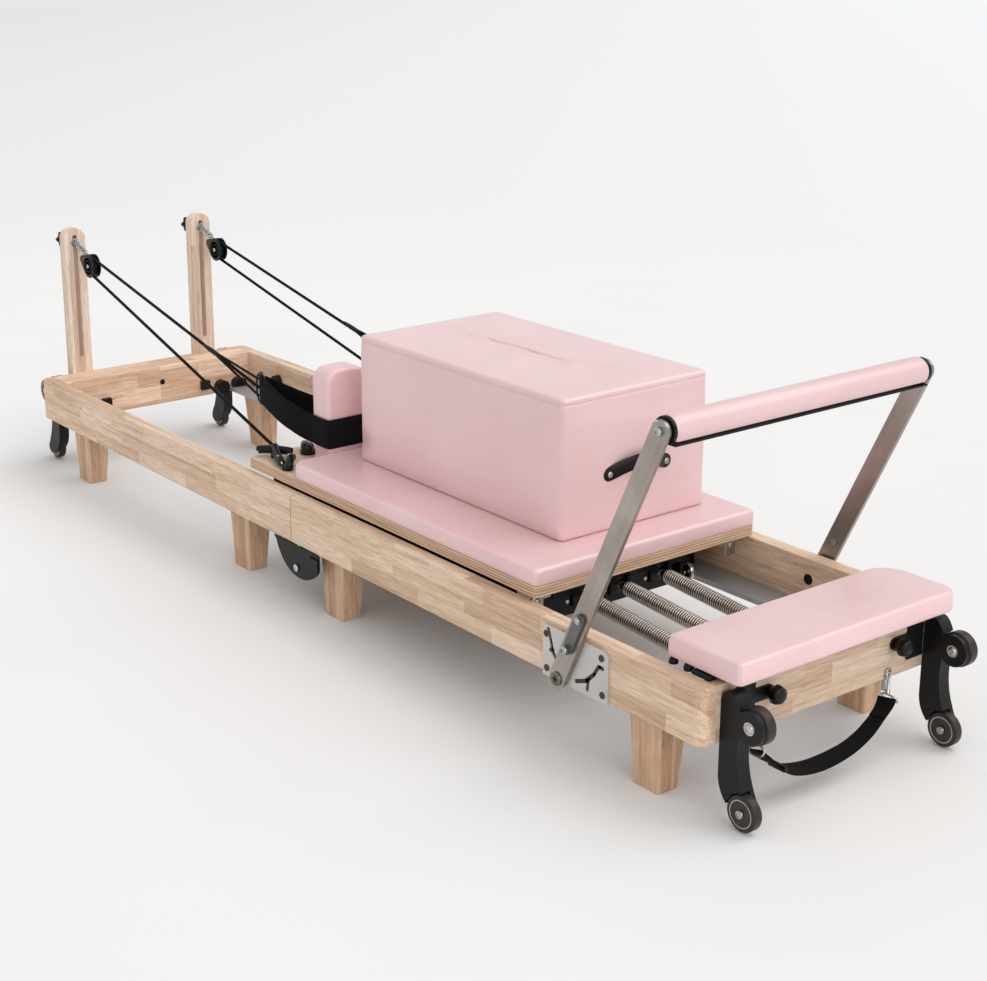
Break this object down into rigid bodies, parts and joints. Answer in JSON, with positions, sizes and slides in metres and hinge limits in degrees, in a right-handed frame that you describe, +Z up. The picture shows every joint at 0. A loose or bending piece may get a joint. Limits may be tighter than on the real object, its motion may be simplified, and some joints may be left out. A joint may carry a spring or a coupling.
{
  "type": "folding pilates reformer",
  "caption": "Wooden pilates reformer that folds in half, with a sprung carriage, rope pulleys, footbar, standing platform and a loose sitting box.",
  "frame": {"origin": "on the floor, at the middle of the length and of the width", "axes": "+X towards the foot end with the footbar, +Y towards the left side of a user lying head at -X, +Z up"},
  "size_m": [2.656, 0.674, 0.6789],
  "materials": {
    "frame_wood": "satin lacquer",
    "plywood": "satin lacquer, layered edge",
    "pink_leather": "smooth synthetic leather",
    "track_aluminium": "anodised",
    "plate_steel": "light grey powder coat",
    "arm_steel": "brushed",
    "bolt_steel": "zinc plated",
    "spring_steel": "nickel plated",
    "black_metal": "matt powder coat",
    "black_plastic": "matt",
    "black_rubber": "matt",
    "black_webbing": "woven",
    "wheel_polyurethane": "translucent polyurethane"
  },
  "bodies": {
    "foot_frame": {"foot_rails": "frame_wood", "foot_crossbeams": "frame_wood", "foot_legs": "frame_wood", "foot_tracks": "track_aluminium", "footbar_plates": "plate_steel", "foot_hardware": "bolt_steel", "platform_pad": "pink_leather", "platform_board": "plywood", "platform_brackets": "black_metal", "spring_anchor_bar": "bolt_steel", "springs": "spring_steel", "foot_wheel_brackets": "black_plastic", "hinge_fixed_leaves": "black_metal", "hinge_pins": "bolt_steel", "hinge_covers": "black_plastic", "foot_strap": "black_webbing"},
    "head_frame": {"head_rails": "frame_wood", "head_crossbeams": "frame_wood", "head_legs": "frame_wood", "head_tracks": "track_aluminium", "hinge_moving_leaves": "black_metal", "head_wheel_brackets": "black_plastic", "head_hardware": "bolt_steel", "risers": "frame_wood", "rope_buffers": "black_rubber"},
    "footbar": {"footbar_arms": "arm_steel", "footbar_tube": "arm_steel", "footbar_pad": "pink_leather", "footbar_trim": "black_plastic", "footbar_bolts": "bolt_steel"},
    "lock_lever_right": {"lock_lever_right": "plate_steel"},
    "lock_lever_left": {"lock_lever_left": "plate_steel"},
    "platform_knob_right": {"platform_knob_right": "black_plastic"},
    "platform_knob_left": {"platform_knob_left": "black_plastic"},
    "pulley_right": {"pulley_hanger_right": "black_plastic", "pulley_block_right": "black_plastic"},
    "pulley_left": {"pulley_hanger_left": "black_plastic", "pulley_block_left": "black_plastic"},
    "sheave_right": {"sheave_right": "black_plastic"},
    "sheave_left": {"sheave_left": "black_plastic"},
    "foot_upper_wheel_right": {"foot_upper_wheel_right": "wheel_polyurethane"},
    "foot_upper_wheel_left": {"foot_upper_wheel_left": "wheel_polyurethane"},
    "foot_lower_wheel_right": {"foot_lower_wheel_right": "wheel_polyurethane"},
    "foot_lower_wheel_left": {"foot_lower_wheel_left": "wheel_polyurethane"},
    "head_upper_wheel_right": {"head_upper_wheel_right": "wheel_polyurethane"},
    "head_upper_wheel_left": {"head_upper_wheel_left": "wheel_polyurethane"},
    "head_lower_wheel_right": {"head_lower_wheel_right": "wheel_polyurethane"},
    "head_lower_wheel_left": {"head_lower_wheel_left": "wheel_polyurethane"},
    "carriage": {"carriage_board": "plywood", "carriage_pad": "pink_leather", "carriage_frame": "black_metal", "shoulder_rests": "pink_leather", "rope_cleats": "black_plastic", "pull_ropes": "black_webbing", "rope_loops": "black_webbing", "loop_rings": "black_metal"},
    "roller_set_foot": {"roller_set_foot": "black_rubber"},
    "roller_set_head": {"roller_set_head": "black_rubber"},
    "box": {"sitting_box": "pink_leather", "box_handle": "black_plastic"}
  },
  "joints": [
    {"name": "frame_fold", "type": "hinge", "parent": "foot_frame", "child": "head_frame", "pos_m": [0, 0, 0.078], "axis": [0, -1, 0], "range_deg": [0, 170]},
    {"name": "carriage_slide", "type": "slide", "parent": "foot_frame", "child": "carriage", "axis": [1, 0, 0], "range_m": [-0.8, 0.25], "deforming": ["springs", "pull_ropes"]},
    {"name": "footbar_tilt", "type": "hinge", "parent": "foot_frame", "child": "footbar", "pos_m": [0.89, 0, 0.146], "axis": [0, 1, 0], "range_deg": [-40, 58]},
    {"name": "lock_lever_right_turn", "type": "hinge", "parent": "footbar", "child": "lock_lever_right", "pos_m": [0.9515, -0.327, 0.277], "axis": [0, 1, 0], "range_deg": [-20, 25]},
    {"name": "lock_lever_left_turn", "type": "hinge", "parent": "footbar", "child": "lock_lever_left", "pos_m": [0.9515, 0.327, 0.277], "axis": [0, 1, 0], "range_deg": [-20, 25]},
    {"name": "platform_knob_right_turn", "type": "hinge", "parent": "foot_frame", "child": "platform_knob_right", "pos_m": [1.24, -0.16, 0.203], "axis": [1, 0, 0], "continuous": true},
    {"name": "platform_knob_left_turn", "type": "hinge", "parent": "foot_frame", "child": "platform_knob_left", "pos_m": [1.24, 0.16, 0.203], "axis": [1, 0, 0], "continuous": true},
    {"name": "pulley_right_height", "type": "slide", "parent": "head_frame", "child": "pulley_right", "axis": [0, 0, 1], "range_m": [-0.24, 0]},
    {"name": "pulley_left_height", "type": "slide", "parent": "head_frame", "child": "pulley_left", "axis": [0, 0, 1], "range_m": [-0.24, 0]},
    {"name": "sheave_right_spin", "type": "hinge", "parent": "pulley_right", "child": "sheave_right", "pos_m": [-1.138, -0.188, 0.546], "axis": [0, 1, 0], "continuous": true},
    {"name": "sheave_left_spin", "type": "hinge", "parent": "pulley_left", "child": "sheave_left", "pos_m": [-1.138, 0.188, 0.546], "axis": [0, 1, 0], "continuous": true},
    {"name": "foot_upper_wheel_right_spin", "type": "hinge", "parent": "foot_frame", "child": "foot_upper_wheel_right", "pos_m": [1.296, -0.2475, 0.189], "axis": [0, 1, 0], "continuous": true},
    {"name": "foot_upper_wheel_left_spin", "type": "hinge", "parent": "foot_frame", "child": "foot_upper_wheel_left", "pos_m": [1.296, 0.2605, 0.189], "axis": [0, 1, 0], "continuous": true},
    {"name": "foot_lower_wheel_right_spin", "type": "hinge", "parent": "foot_frame", "child": "foot_lower_wheel_right", "pos_m": [1.2865, -0.259, 0.034], "axis": [0, 1, 0], "continuous": true},
    {"name": "foot_lower_wheel_left_spin", "type": "hinge", "parent": "foot_frame", "child": "foot_lower_wheel_left", "pos_m": [1.2865, 0.249, 0.034], "axis": [0, 1, 0], "continuous": true},
    {"name": "head_upper_wheel_right_spin", "type": "hinge", "parent": "head_frame", "child": "head_upper_wheel_right", "pos_m": [-1.296, -0.2605, 0.189], "axis": [0, 1, 0], "continuous": true},
    {"name": "head_upper_wheel_left_spin", "type": "hinge", "parent": "head_frame", "child": "head_upper_wheel_left", "pos_m": [-1.296, 0.2475, 0.189], "axis": [0, 1, 0], "continuous": true},
    {"name": "head_lower_wheel_right_spin", "type": "hinge", "parent": "head_frame", "child": "head_lower_wheel_right", "pos_m": [-1.2865, -0.249, 0.034], "axis": [0, 1, 0], "continuous": true},
    {"name": "head_lower_wheel_left_spin", "type": "hinge", "parent": "head_frame", "child": "head_lower_wheel_left", "pos_m": [-1.2865, 0.259, 0.034], "axis": [0, 1, 0], "continuous": true},
    {"name": "roller_set_foot_spin", "type": "hinge", "parent": "carriage", "child": "roller_set_foot", "pos_m": [0.64, 0, 0.1758], "axis": [0, 1, 0], "continuous": true},
    {"name": "roller_set_head_spin", "type": "hinge", "parent": "carriage", "child": "roller_set_head", "pos_m": [-0.15, 0, 0.1758], "axis": [0, 1, 0], "continuous": true},
    {"name": "box_lift", "type": "slide", "parent": "carriage", "child": "box", "axis": [0, 0, 1], "range_m": [0, 0.3]}
  ]
}
